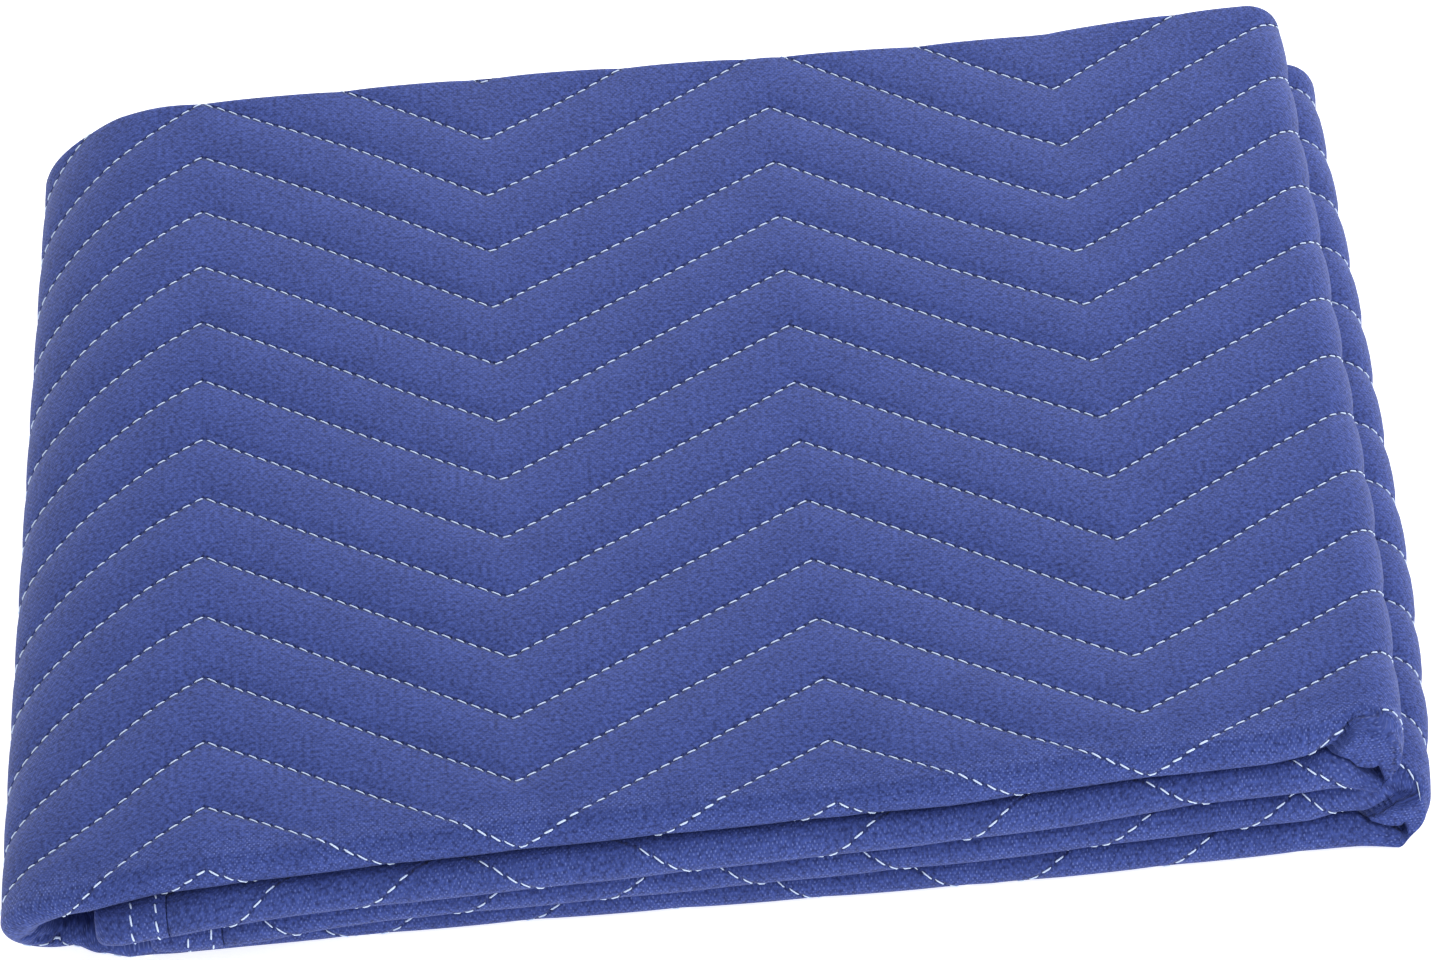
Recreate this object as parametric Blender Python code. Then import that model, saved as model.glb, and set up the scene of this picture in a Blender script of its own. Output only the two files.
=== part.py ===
"""Moving blanket: one quilted cloth with two end bindings, folded into a flat packet.

Metres, +Z up. The packet lies on z = 0 with its rolled edges at the front (-Y) and its turned sides at +X
and -X. Lengthwise the cloth runs in four layers: layer 2 from its bound end to the upper right turn,
layer 1 on top, round the wide left turn, layer 4 underneath, the lower right turn, and layer 3 back to the
other bound end. Across, each layer is four plies: both long edges are folded in from the back to the front
roll, which joins the outer ply to the inner one. A depth is measured into a layer from its outer face.
The wide left turn has little inside it, so the packet slumps there.
"""

import math
from collections import namedtuple

import bmesh
import bpy
import numpy as np

# Thicknesses
PLY = 0.00335
PLY_GAP = 0.0004
PLY_PITCH = PLY + PLY_GAP
LAYER = 4 * PLY + 3 * PLY_GAP
LAYER_GAP = 0.0004
HEIGHT = 4 * LAYER + 3 * LAYER_GAP

# Where the lengthwise turns and the bound ends lie
LEFT_TURN_X = -0.268
LEFT_TURN_REACH = 0.036
LEFT_TURN_EASE = 1.2
RIGHT_TURN_X = {"upper": 0.252, "lower": 0.265}
RIGHT_TURN_RADIUS = LAYER + LAYER_GAP / 2
BOUND_END_X = {"upper": -0.231, "lower": -0.212}

# End bindings
BINDING_WIDTH = 0.027
BINDING_WALL = 0.0008
CLEARANCE = 0.00035
BINDING_STEP = 0.0004
BOUND_PLY = PLY - 2 * (BINDING_WALL + CLEARANCE)

# Zigzag quilting: rows run along X, one stitch spacing apart
STITCH_SPACING = 0.0333
ZIGZAG_HALF_PERIOD = 0.1143
ZIGZAG_DEPTH = 0.0715
PEAK_X = -0.1886
PEAK_Y = 0.1874
QUILT_DEPTH = 0.001
QUILTING_FADE = 1.4
ROWS_REACH = 0.23

# How far the packet slumps towards the left turn: x, share of its height left
Slump = namedtuple("Slump", "x share")
SLUMPS = (Slump(-0.268, 0.76), Slump(-0.246, 0.80), Slump(-0.232, 0.873), Slump(-0.204, 1.0))

# Middle of the packet in the x and y of these tables, which is put at the origin
CENTRE_X = -0.0014
CENTRE_Y = 0.0038

# Mesh steps
FACE_STEP = 0.0572
QUILTED_STEP = ZIGZAG_HALF_PERIOD / 4
RIGHT_TURN_STEPS = 8
LEFT_TURN_STEPS = 12
OUTER_ARC = {"fold": 5, "roll": 8}
INNER_ARC = {"fold": 3, "roll": 6}
HEM_SETBACK = 0.0015
MERGE = 1e-5
SMOOTH_ANGLE = math.radians(40)

# Cloth colours and finish
PANEL_COLOUR = (0.080, 0.114, 0.337)
BINDING_COLOUR = (0.075, 0.108, 0.322)
CLOTH_ROUGHNESS = 0.85

# For each layer, from left to right: x, y of its front roll, y of its back folds
Edge = namedtuple("Edge", "x front back")
LAYER_EDGES = {
    1: (
        Edge(-0.232, -0.2135, 0.2292),
        Edge(-0.199, -0.2140, 0.2276),
        Edge(-0.137, -0.2112, 0.2268),
        Edge(-0.061, -0.2092, 0.2256),
        Edge(0.028, -0.2082, 0.2222),
        Edge(0.085, -0.2078, 0.2200),
        Edge(0.147, -0.2035, 0.2192),
        Edge(0.202, -0.2022, 0.2240),
        Edge(0.215, -0.2002, 0.2246),
        Edge(0.228, -0.1965, 0.2248),
        Edge(0.237, -0.1920, 0.2248),
    ),
    2: (
        Edge(-0.231, -0.2215, 0.2240),
        Edge(-0.202, -0.2215, 0.2230),
        Edge(-0.157, -0.2170, 0.2235),
        Edge(-0.033, -0.2142, 0.2215),
        Edge(0.076, -0.2116, 0.2190),
        Edge(0.129, -0.2092, 0.2180),
        Edge(0.172, -0.2045, 0.2205),
        Edge(0.237, -0.2026, 0.2235),
    ),
    3: (
        Edge(-0.212, -0.2150, 0.2222),
        Edge(-0.172, -0.2140, 0.2230),
        Edge(-0.133, -0.2092, 0.2235),
        Edge(-0.020, -0.2088, 0.2220),
        Edge(0.103, -0.2076, 0.2195),
        Edge(0.171, -0.2045, 0.2200),
        Edge(0.220, -0.2028, 0.2222),
        Edge(0.238, -0.1985, 0.2225),
        Edge(0.250, -0.1925, 0.2225),
    ),
    4: (
        Edge(-0.232, -0.1895, 0.2190),
        Edge(-0.204, -0.2020, 0.2200),
        Edge(-0.182, -0.2005, 0.2210),
        Edge(-0.072, -0.2010, 0.2230),
        Edge(0.028, -0.2034, 0.2210),
        Edge(0.120, -0.2050, 0.2190),
        Edge(0.207, -0.2037, 0.2205),
        Edge(0.250, -0.2030, 0.2220),
    ),
}

# From front to back: y, x of the left turn, x of the upper right turn, x of the lower right turn
SideEdge = namedtuple("SideEdge", "y left upper lower")
SIDE_EDGES = (
    SideEdge(-0.205, -0.2680, 0.2475, 0.2560),
    SideEdge(-0.150, -0.2672, 0.2500, 0.2615),
    SideEdge(-0.070, -0.2652, 0.2520, 0.2650),
    SideEdge(0.080, -0.2612, 0.2510, 0.2645),
    SideEdge(0.220, -0.2568, 0.2495, 0.2620),
)

# Where a ply without quilting needs points: at the bends of the side edges
PLAIN_YS = [row.y for row in SIDE_EDGES[1:-1]]

# Soft hollows (negative) and swells of the top face: x, y, height, reach
Swell = namedtuple("Swell", "x y height reach")
SWELLS = (
    Swell(0.105, 0.020, -0.0012, 0.045),
    Swell(-0.190, 0.150, -0.0010, 0.060),
    Swell(0.190, -0.120, -0.0008, 0.050),
    Swell(-0.060, -0.080, 0.0007, 0.080),
    Swell(0.010, 0.140, 0.0006, 0.070),
)

# One place along the cloth: a point of its outer face in the X-Z plane, the normal there, its front and back
# edge, how much quilting shows (0 to 1), which right turn it belongs to, and the pinch of its plies
Station = namedtuple("Station", "x z nx nz front back quilting packet pinch")


def edges_at(layer, x):
    """The front and back edge of a layer at x, read from its table."""
    table = LAYER_EDGES[layer]
    xs = [row.x for row in table]
    front = np.interp(x, xs, [row.front for row in table])
    back = np.interp(x, xs, [row.back for row in table])
    return float(front), float(back)


def evenly(start, end, step):
    count = max(1, math.ceil(abs(end - start) / step))
    return [start + (end - start) * i / count for i in range(count + 1)]


def flat_run(layer, xs, face_up, face_z, packet, quilting=0.0, pinch=0.0):
    """Stations along a flat layer, at the given places."""
    nz = 1.0 if face_up else -1.0
    return [Station(x, face_z, 0.0, nz, *edges_at(layer, x), quilting, packet, pinch) for x in xs]


def turn(centre, reach, radius, angles, edges, packet, ease=1.0):
    """Stations round a half turn, without its two ends, from one layer's edges to the next one's."""
    start, end, steps = angles
    (front, back), (next_front, next_back) = edges
    stations = []
    for i in range(1, steps):
        share = i / steps
        moved = share**ease
        angle = math.radians(start + (end - start) * share)
        across, up = math.cos(angle), math.sin(angle)
        length = math.hypot(across / reach, up / radius)
        quilting = min(1.0, max(0.0, QUILTING_FADE * (1.0 + up)))
        stations.append(
            Station(
                centre[0] + reach * across,
                centre[1] + radius * up,
                across / reach / length,
                up / radius / length,
                front + (next_front - front) * moved,
                back + (next_back - back) * moved,
                quilting,
                packet,
                0.0,
            )
        )
    return stations


def bound_run(layer, end_x, start_x, face_up, face_z, packet):
    """Stations of a layer from its bound end, where the binding pinches the plies, to its turn."""
    pinch = (PLY - BOUND_PLY) / 2
    inside_x = end_x + BINDING_WALL + CLEARANCE
    lip_x = end_x + BINDING_WIDTH + CLEARANCE
    pinched = flat_run(layer, [inside_x, lip_x], face_up, face_z, packet, pinch=pinch)
    full = evenly(lip_x + BINDING_STEP, start_x, FACE_STEP)
    return pinched + flat_run(layer, full, face_up, face_z, packet)


def strip_path():
    """All stations of the cloth, from the bound end of layer 2 to the bound end of layer 3."""
    upper_x = RIGHT_TURN_X["upper"] - RIGHT_TURN_RADIUS
    lower_x = RIGHT_TURN_X["lower"] - RIGHT_TURN_RADIUS
    left_x = LEFT_TURN_X + LEFT_TURN_REACH
    half = HEIGHT / 2
    slump_x = SLUMPS[-1].x
    top = evenly(upper_x, slump_x, QUILTED_STEP) + [left_x]
    bottom = [left_x] + evenly(slump_x, lower_x, FACE_STEP)
    layer_2 = bound_run(2, BOUND_END_X["upper"], upper_x, False, half + LAYER_GAP / 2, "upper")
    layer_1 = flat_run(1, top, True, HEIGHT, "upper", quilting=1.0)
    layer_4 = flat_run(4, bottom, False, 0.0, "lower")
    layer_3 = bound_run(3, BOUND_END_X["lower"], lower_x, True, half - LAYER_GAP / 2, "lower")
    upper_turn = turn(
        (upper_x, half + LAYER_GAP / 2 + RIGHT_TURN_RADIUS),
        RIGHT_TURN_RADIUS,
        RIGHT_TURN_RADIUS,
        (-90, 90, RIGHT_TURN_STEPS),
        (edges_at(2, upper_x), edges_at(1, upper_x)),
        "upper",
    )
    left_turn = turn(
        (left_x, half),
        LEFT_TURN_REACH,
        half,
        (90, 270, LEFT_TURN_STEPS),
        (edges_at(1, left_x), edges_at(4, left_x)),
        "upper",
        LEFT_TURN_EASE,
    )
    lower_turn = turn(
        (lower_x, RIGHT_TURN_RADIUS),
        RIGHT_TURN_RADIUS,
        RIGHT_TURN_RADIUS,
        (-90, 90, RIGHT_TURN_STEPS),
        (edges_at(4, lower_x), edges_at(3, lower_x)),
        "lower",
    )
    return layer_2 + upper_turn + layer_1 + left_turn + layer_4 + lower_turn + layer_3[::-1]


def distances(stations):
    """How far each station lies along the cloth, counted so that it equals -x on layer 1."""
    lengths = [0.0]
    for before, after in zip(stations, stations[1:]):
        lengths.append(lengths[-1] + math.hypot(after.x - before.x, after.z - before.z))
    top = next(i for i, station in enumerate(stations) if station.z == HEIGHT)
    return [length - lengths[top] - stations[top].x for length in lengths]


def zigzag(distance):
    """How far the stitch rows lie in front of their peaks, at a distance along the cloth."""
    share = ((-distance - PEAK_X) / (2 * ZIGZAG_HALF_PERIOD)) % 1.0
    return ZIGZAG_DEPTH * (1.0 - abs(2.0 * share - 1.0))


def quilting_at(distance, y):
    """How deep the face lies under the crest of the quilting: most on a stitch row, none midway."""
    share = ((y - PEAK_Y + zigzag(distance)) / STITCH_SPACING) % 1.0
    return QUILT_DEPTH * (1.0 - 2.0 * min(share, 1.0 - share))


def swell_at(x, y):
    total = 0.0
    for swell in SWELLS:
        away = math.hypot(x - swell.x, y - swell.y) / swell.reach
        total += swell.height * math.exp(-away * away)
    return total


def arc(centre, radius, start, end, steps):
    angles = [math.radians(start + (end - start) * i / steps) for i in range(steps + 1)]
    return [(centre[0] + radius * math.cos(a), centre[1] + radius * math.sin(a)) for a in angles]


def section_side(front, back, offset, arcs, face_rows):
    """One side of the four plies from the first hem to the second, as (y, depth) points.

    offset is the way from the middle of the ply, positive on the outer side of every fold, and face_rows
    holds the y of each point on the outer ply.
    """
    middles = [PLY / 2 + PLY_PITCH * i for i in range(4)]
    fold_y = back - PLY - PLY_GAP / 2
    roll_y = front + LAYER / 2
    hem_y = roll_y + HEM_SETBACK
    first_fold = arc((fold_y, (middles[0] + middles[1]) / 2), PLY_PITCH / 2 + offset, 90, -90, arcs["fold"])
    second_fold = arc((fold_y, (middles[2] + middles[3]) / 2), PLY_PITCH / 2 + offset, 90, -90, arcs["fold"])
    roll = arc((roll_y, LAYER / 2), (LAYER - PLY) / 2 + offset, -90, -270, arcs["roll"])
    first_ply = [(y, middles[1] + offset) for y in [hem_y, *PLAIN_YS]]
    outer_ply = [(min(max(y, roll_y), fold_y), middles[0] - offset) for y in face_rows]
    inner_ply = [(y, middles[3] + offset) for y in PLAIN_YS]
    last_ply = [(y, middles[2] - offset) for y in [*PLAIN_YS[::-1], hem_y]]
    return first_ply + first_fold + outer_ply + roll + inner_ply + second_fold + last_ply


def stitch_row_ys(distance):
    """The y of every stitch row and of the crest between each two, from back to front."""
    half = STITCH_SPACING / 2
    first = math.ceil((ROWS_REACH - PEAK_Y + ZIGZAG_DEPTH) / half)
    last = math.floor((-ROWS_REACH - PEAK_Y) / half)
    return [PEAK_Y + row * half - zigzag(distance) for row in range(first, last - 1, -1)]


def side_shift(x, y, packet):
    """How far the uneven side edges move a point along X."""
    ys = [row.y for row in SIDE_EDGES]
    left = np.interp(y, ys, [row.left for row in SIDE_EDGES]) - LEFT_TURN_X
    right = np.interp(y, ys, [getattr(row, packet) for row in SIDE_EDGES]) - RIGHT_TURN_X[packet]
    share = (x - LEFT_TURN_X) / (RIGHT_TURN_X[packet] - LEFT_TURN_X)
    return float(left + (right - left) * share)


def placed(station, y, depth):
    """A point of the section at this station, in the packet."""
    x = station.x - station.nx * depth
    z = station.z - station.nz * depth
    share = np.interp(x, [row.x for row in SLUMPS], [row.share for row in SLUMPS])
    return (x + side_shift(x, y, station.packet) - CENTRE_X, y - CENTRE_Y, z * float(share))


def panel_ring(station, distance):
    """The closed section of the panel at a station, quilted on its outer ply and roll."""
    half = PLY / 2 - station.pinch
    outer = section_side(station.front, station.back, half, OUTER_ARC, stitch_row_ys(distance))
    inner = section_side(station.front, station.back, -half, INNER_ARC, PLAIN_YS[::-1])
    ring = []
    for y, depth in outer:
        share = station.quilting * max(0.0, 1.0 - depth / (2 * PLY))
        raised = swell_at(station.x, y) * max(0.0, station.nz) - quilting_at(distance, y)
        ring.append(placed(station, y, depth - share * raised))
    ring += [placed(station, y, depth) for y, depth in reversed(inner)]
    return ring


def loft(name, rings, colour):
    """A closed solid through rings of equal length, capped at both ends."""
    bm = bmesh.new()
    rows = [[bm.verts.new(point) for point in ring] for ring in rings]
    count = len(rings[0])
    for row, after in zip(rows, rows[1:]):
        for i in range(count):
            j = (i + 1) % count
            bm.faces.new((row[i], row[j], after[j], after[i]))
    bm.faces.new(rows[0][::-1])
    bm.faces.new(rows[-1])
    bmesh.ops.remove_doubles(bm, verts=bm.verts, dist=MERGE)
    bmesh.ops.dissolve_degenerate(bm, edges=bm.edges, dist=MERGE / 10)
    bmesh.ops.triangulate(bm, faces=bm.faces, quad_method="SHORT_EDGE", ngon_method="EAR_CLIP")
    bmesh.ops.recalc_face_normals(bm, faces=bm.faces)
    mesh = bpy.data.meshes.new(name)
    bm.to_mesh(mesh)
    bm.free()
    mesh.materials.append(cloth_material(name, colour))
    mesh.shade_smooth()
    mesh.set_sharp_from_angle(angle=SMOOTH_ANGLE)
    piece = bpy.data.objects.new(name, mesh)
    bpy.context.scene.collection.objects.link(piece)
    return piece


def cloth_material(name, colour):
    material = bpy.data.materials.new(name + "_cloth")
    material.use_nodes = True
    shader = material.node_tree.nodes["Principled BSDF"]
    shader.inputs["Base Color"].default_value = (*colour, 1.0)
    shader.inputs["Roughness"].default_value = CLOTH_ROUGHNESS
    shader.inputs["Metallic"].default_value = 0.0
    return material


def quilted_panel():
    stations = strip_path()
    rings = [panel_ring(station, along) for station, along in zip(stations, distances(stations))]
    return loft("quilted_panel", rings, PANEL_COLOUR)


def binding(name, layer, end_x, face_up, face_z, packet):
    """A strip folded over the bound end of every ply: a slotted section, swept along the folded plies."""
    slot_x = end_x + BINDING_WALL
    lip_x = end_x + BINDING_WIDTH
    wall = PLY / 2
    slot = wall - BINDING_WALL
    outline = (
        (lip_x, wall),
        (end_x, wall),
        (end_x, -wall),
        (lip_x, -wall),
        (lip_x, -slot),
        (slot_x, -slot),
        (slot_x, slot),
        (lip_x, slot),
    )
    columns = []
    for x, offset in outline:
        station = flat_run(layer, [x], face_up, face_z, packet)[0]
        side = section_side(station.front, station.back, offset, OUTER_ARC, PLAIN_YS[::-1])
        columns.append([placed(station, y, depth) for y, depth in side])
    return loft(name, list(zip(*columns)), BINDING_COLOUR)


def main():
    for piece in list(bpy.data.objects):
        bpy.data.objects.remove(piece)
    half = HEIGHT / 2
    quilted_panel()
    binding("end_binding_upper", 2, BOUND_END_X["upper"], False, half + LAYER_GAP / 2, "upper")
    binding("end_binding_lower", 3, BOUND_END_X["lower"], True, half - LAYER_GAP / 2, "lower")


main()
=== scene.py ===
import math

import bmesh
import bpy
import numpy as np
from mathutils import Matrix, Vector


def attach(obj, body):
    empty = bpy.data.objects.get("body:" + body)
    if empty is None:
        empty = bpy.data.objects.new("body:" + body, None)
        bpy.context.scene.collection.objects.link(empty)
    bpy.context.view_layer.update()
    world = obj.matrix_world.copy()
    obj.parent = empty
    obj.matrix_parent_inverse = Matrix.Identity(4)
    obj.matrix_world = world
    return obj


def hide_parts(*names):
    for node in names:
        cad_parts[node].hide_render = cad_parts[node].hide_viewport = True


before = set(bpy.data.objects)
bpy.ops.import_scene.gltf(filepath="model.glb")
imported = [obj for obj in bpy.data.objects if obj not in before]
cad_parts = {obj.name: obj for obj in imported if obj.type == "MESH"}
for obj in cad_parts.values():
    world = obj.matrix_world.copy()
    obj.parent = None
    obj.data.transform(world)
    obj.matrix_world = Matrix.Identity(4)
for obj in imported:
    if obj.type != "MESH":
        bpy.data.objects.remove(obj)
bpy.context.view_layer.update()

# Sizes of the folded cloth, in metres
cloth = dict(
    ply=0.00335,
    plyGap=0.0004,
    layerGap=0.0004,
    leftTurnX=-0.268,
    leftTurnReach=0.036,
    leftTurnEase=1.2,
    leftTurnSlack=0.0069,  # how far the cloth is drawn in just before the turn's lower end
    leftTurnRelease=0.88,  # share of the turn from which it is let out again
    turnX=dict(upper=0.252, lower=0.265),
    endX=dict(upper=-0.231, lower=-0.212),
    hemSetback=0.0015,
    flatWidth=1.70,
    flatLength=2.03,
    centre=(-0.0014, 0.0038),  # middle of the packet in these tables, which goes to the origin
)
plyPitch = cloth["ply"] + cloth["plyGap"]
layerHeight = 4 * cloth["ply"] + 3 * cloth["plyGap"]
packetHeight = 4 * layerHeight + 3 * cloth["layerGap"]
turnRadius = layerHeight + cloth["layerGap"] / 2
foldRadius = plyPitch / 2
rollRadius = (layerHeight - cloth["ply"]) / 2

# Zigzag quilting: rows run along the cloth, one spacing apart
quilting = dict(
    spacing=0.0333, halfPeriod=0.1143, depth=0.0715, peakX=-0.1886, peakY=0.1874,
    relief=dict(outer=0.0015, inner=0.0008), reliefPower=2.6,
    rollFade=dict(share=0.7, reach=0.020),  # share of the relief lost at the front roll
    backFade=dict(share=0.5, reach=0.012),  # and at the back fold
    turnRelief=0.35,  # share of it left on the upright part of the left turn
)

# x, y of the front roll and y of the back folds, for each layer from left to right
layerEdges = {
    1: (
        (-0.232, -0.2135, 0.2292), (-0.199, -0.214, 0.2276), (-0.137, -0.2112, 0.2268),
        (-0.061, -0.2092, 0.2256), (0.028, -0.2082, 0.2222), (0.085, -0.2078, 0.22),
        (0.147, -0.2035, 0.2192), (0.202, -0.2022, 0.224), (0.215, -0.2002, 0.2246),
        (0.228, -0.1965, 0.2248), (0.237, -0.192, 0.2248),
    ),
    2: (
        (-0.231, -0.2168, 0.224), (-0.228, -0.2195, 0.2239), (-0.222, -0.2213, 0.2237),
        (-0.202, -0.2215, 0.223), (-0.157, -0.217, 0.2235), (-0.033, -0.2142, 0.2215),
        (0.076, -0.2116, 0.219), (0.129, -0.2092, 0.218), (0.172, -0.2045, 0.2205),
        (0.237, -0.2026, 0.2235),
    ),
    3: (
        (-0.212, -0.212, 0.2222), (-0.208, -0.214, 0.2223), (-0.201, -0.215, 0.2225),
        (-0.172, -0.214, 0.223), (-0.133, -0.2092, 0.2235), (-0.02, -0.2088, 0.222),
        (0.103, -0.2076, 0.2195), (0.171, -0.2045, 0.22), (0.22, -0.2028, 0.2222), (0.238, -0.1985, 0.2225),
        (0.25, -0.1925, 0.2225),
    ),
    4: (
        (-0.232, -0.1964, 0.219), (-0.223, -0.2, 0.2193), (-0.213, -0.2003, 0.2197),
        (-0.204, -0.2012, 0.22), (-0.182, -0.2005, 0.221), (-0.072, -0.201, 0.223), (0.028, -0.2034, 0.221),
        (0.12, -0.205, 0.219), (0.207, -0.2037, 0.2205), (0.25, -0.203, 0.222),
    ),
}

# y, then x of the left turn and of the upper and lower right turns
sideEdges = (
    (-0.205, -0.268, 0.2475, 0.256),
    (-0.15, -0.2672, 0.25, 0.2615),
    (-0.07, -0.2652, 0.252, 0.265),
    (0.08, -0.2612, 0.251, 0.2645),
    (0.22, -0.2568, 0.2495, 0.262),
)

# Where the rows run off their straight lattice: x, y, amount, reach
wanders = (
    (0.153, -0.172, 0.009, 0.15), (0.162, -0.113, -0.006, 0.067), (-0.072, 0.195, 0.009, 0.15),
    (0.064, -0.091, -0.0048, 0.116), (0.245, 0.205, 0.0084, 0.15), (0.128, 0.144, -0.009, 0.081),
    (-0.23, -0.171, -0.0053, 0.04), (-0.098, 0.018, -0.0034, 0.092), (-0.036, 0.154, -0.0088, 0.084),
    (-0.268, -0.185, 0.006, 0.03), (-0.3, -0.197, 0.0166, 0.029), (-0.318, -0.197, 0.012, 0.018),
    (-0.345, -0.197, 0.037, 0.026), (-0.232, -0.207, -0.003, 0.022), (-0.205, -0.195, -0.0008, 0.03),
    (0.232, -0.197, 0.0038, 0.02), (0.225, -0.197, 0.003, 0.009),
)

# How far the rows of the other layers lie off those on top: place along the cloth, shift across it by the
# front rolls, slide along it
drifts = (
    (-0.76, -0.0163, 0.003), (-0.283, -0.0163, 0.003), (-0.245, 0.0, 0.0), (0.26, 0.0, 0.0),
    (0.345, -0.0153, -0.0075), (0.82, -0.0153, -0.0085), (0.885, -0.0175, -0.0085),
    (0.93, -0.0181, -0.0036), (1.34, -0.0181, -0.0036),
)

# On the lower right turn the rows lie further off and lean less: place across the cloth, shift
turnDrift = dict(
    at=0.835, lean=0.47, start=(0.77, 0.815), end=(0.9, 0.86),
    rows=(
        (-0.19, -0.018), (-0.15, -0.0265), (-0.1, -0.03), (0.000, -0.029), (0.07, -0.024), (0.21, -0.0205),
    ),
)
frontDrift = (-0.110, -0.190)  # y between which the drifts set in

# Over the top front roll the rows are drawn back: how far in all, where this starts and ends, counted from
# the front edge, and the x between which it sets in at the left and at the right
rollPull = dict(amount=0.0034, edge=(0.0090, -0.0030), left=(-0.235, -0.200), right=(0.205, 0.175))

# The packet slumps towards the wide left turn: x, share of its height left
slumps = (
    (-0.268, 0.76), (-0.258, 0.772), (-0.246, 0.805), (-0.232, 0.868), (-0.218, 0.94), (-0.207, 0.984),
    (-0.194, 1.0),
)
slumpBlur = (-0.005, -0.0025, 0.0, 0.0025, 0.005)


def slumpAt(x):
    xs, shares = zip(*slumps)
    return sum(np.interp(x + shift, xs, shares) for shift in slumpBlur) / len(slumpBlur)


def eased(value, start, end):
    share = np.clip((value - start) / (end - start), 0.0, 1.0)
    return share * share * (3 - 2 * share)


def withBumps(total, table, x, y):  # adds soft round bumps: x, y, height, reach
    for bumpX, bumpY, height, reach in table:
        total = total + height * np.exp(-((x - bumpX) ** 2 + (y - bumpY) ** 2) / reach**2)
    return total


def wanderAt(x, y):
    us, shifts, _ = zip(*drifts)
    ys, turned = zip(*turnDrift["rows"])
    front = eased(y, *frontDrift)
    onTurn = eased(-x, *turnDrift["start"]) * eased(-x, *turnDrift["end"])
    total = (1 - onTurn) * front * np.interp(-x, us, shifts)
    total += onTurn * (np.interp(y, ys, turned) + turnDrift["lean"] * (turnDrift["at"] + x) * (1 - front))
    onTop = eased(x, *rollPull["left"]) * eased(x, *rollPull["right"])
    total += rollPull["amount"] * onTop * eased(y - edgesAt(1, x)[0], *rollPull["edge"])
    return withBumps(total, wanders, x, y)


def edgesAt(layer, x):
    xs, fronts, backs = zip(*layerEdges[layer])
    return np.interp(x, xs, fronts), np.interp(x, xs, backs)


def zigzag(u):  # how far the rows lie in front of their peaks
    share = ((-u - quilting["peakX"]) / (2 * quilting["halfPeriod"])) % 1.0
    return quilting["depth"] * (1.0 - np.abs(2.0 * share - 1.0))


def rowPhase(u, v):  # whole numbers on the stitch rows
    return (v - wanderAt(-u, v) - quilting["peakY"] + zigzag(u)) / quilting["spacing"]


def sideShift(x, y, packet):
    ys, left, upper, lower = zip(*sideEdges)
    turnX = cloth["turnX"][packet]
    onLeft = np.interp(y, ys, left) - cloth["leftTurnX"]
    onRight = np.interp(y, ys, upper if packet == "upper" else lower) - turnX
    share = (x - cloth["leftTurnX"]) / (turnX - cloth["leftTurnX"])
    return onLeft + (onRight - onLeft) * share


def acrossSection(front, back, v, lift):
    # v is the place across the cloth, equal to y on the outer ply; lift is the way out from the ply's middle
    ply, middles = cloth["ply"], [cloth["ply"] / 2 + plyPitch * i for i in range(4)]
    foldY, rollY = back - ply - cloth["plyGap"] / 2, front + layerHeight / 2
    plyWidth, foldLength, rollLength = foldY - rollY, math.pi * foldRadius, math.pi * rollRadius
    s = foldY - v
    lift = np.broadcast_to(lift, v.shape)
    rollStart, rollEnd = plyWidth, plyWidth + rollLength
    secondFold = rollEnd + plyWidth
    secondPly = secondFold + foldLength
    firstAngle = -math.pi / 2 - s / foldRadius
    rollAngle = -math.pi / 2 - (s - rollStart) / rollRadius
    secondAngle = math.pi / 2 - (s - secondFold) / foldRadius

    def bend(y, depth, radius, angle):
        return y + (radius + lift) * np.cos(angle), depth + (radius + lift) * np.sin(angle)

    places = [
        (s < -foldLength, foldY + s + foldLength, middles[1] + lift),
        (s < 0, *bend(foldY, (middles[0] + middles[1]) / 2, foldRadius, firstAngle)),
        (s <= rollStart, foldY - s, middles[0] - lift),
        (s < rollEnd, *bend(rollY, layerHeight / 2, rollRadius, rollAngle)),
        (s <= secondFold, rollY + s - rollEnd, middles[3] + lift),
        (s < secondPly, *bend(foldY, (middles[2] + middles[3]) / 2, foldRadius, secondAngle)),
    ]
    tests = [place[0] for place in places]
    y = np.select(tests, [place[1] for place in places], foldY - (s - secondPly))
    depth = np.select(tests, [place[2] for place in places], middles[2] - lift)
    return y, depth


class Station:  # one place along the folded cloth
    def __init__(self, x, z, nx, nz, edges, packet, layer, pinch=0.0):
        self.x, self.z, self.nx, self.nz = x, z, nx, nz
        self.front, self.back = edges
        self.packet, self.layer, self.pinch = packet, layer, pinch


def evenly(start, end, step):
    count = max(1, math.ceil(abs(end - start) / step))
    return [start + (end - start) * i / count for i in range(count + 1)]


def flatRun(layer, start, end, step, nz, faceZ, packet):
    # Stations meet the corners of the zigzag, which lie half a period apart
    half, peak = quilting["halfPeriod"], quilting["peakX"]
    low, high = sorted((start, end))
    corners = [peak + half * i for i in range(-2, 6)] if layer == 1 else []
    fine = high - mesh["cornerReach"]
    stops = [low, *[x for x in corners if low + step / 2 < x < fine - step / 2], high]
    if high > 0:
        stops.insert(-1, fine)
    steps = [mesh["cornerStep"] if a >= fine else step for a in stops[:-1]]
    xs = [x for a, b, size in zip(stops, stops[1:], steps) for x in evenly(a, b, size)[:-1]] + [high]
    if start > end:
        xs = xs[::-1]
    return [Station(x, faceZ, 0.0, nz, edgesAt(layer, x), packet, layer) for x in xs]


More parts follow.
